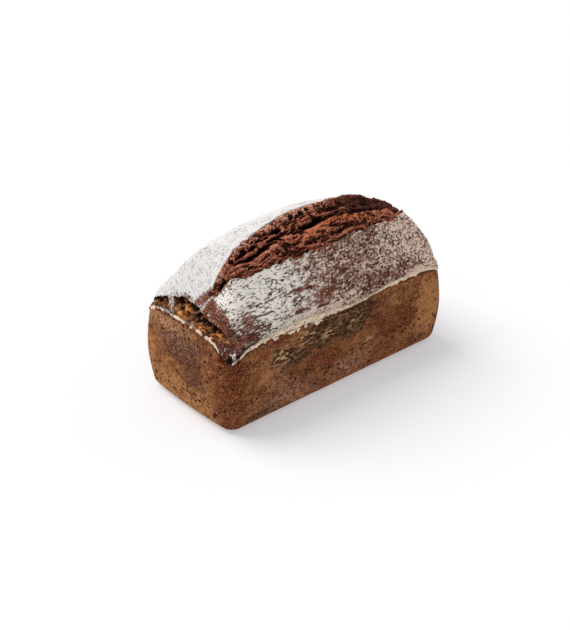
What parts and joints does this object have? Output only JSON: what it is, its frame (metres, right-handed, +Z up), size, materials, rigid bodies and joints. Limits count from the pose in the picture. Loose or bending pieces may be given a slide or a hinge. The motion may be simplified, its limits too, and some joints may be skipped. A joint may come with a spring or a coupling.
{
  "type": "tin loaf",
  "caption": "Tin loaf of rye bread with straight walls, a floury rim and a high domed top, split lengthwise and torn open at an end.",
  "frame": {"origin": "under the middle of the loaf's bounding box, in the plane of its flat base", "axes": "+X along the loaf towards the end that is not torn, +Y towards the long side away from the split's front lip, +Z up"},
  "size_m": [0.2078, 0.0986, 0.1283],
  "materials": {
    "crust": "matt baked crust, dusted with flour on top"
  },
  "bodies": {
    "root": {"loaf": "crust"}
  },
  "joints": []
}
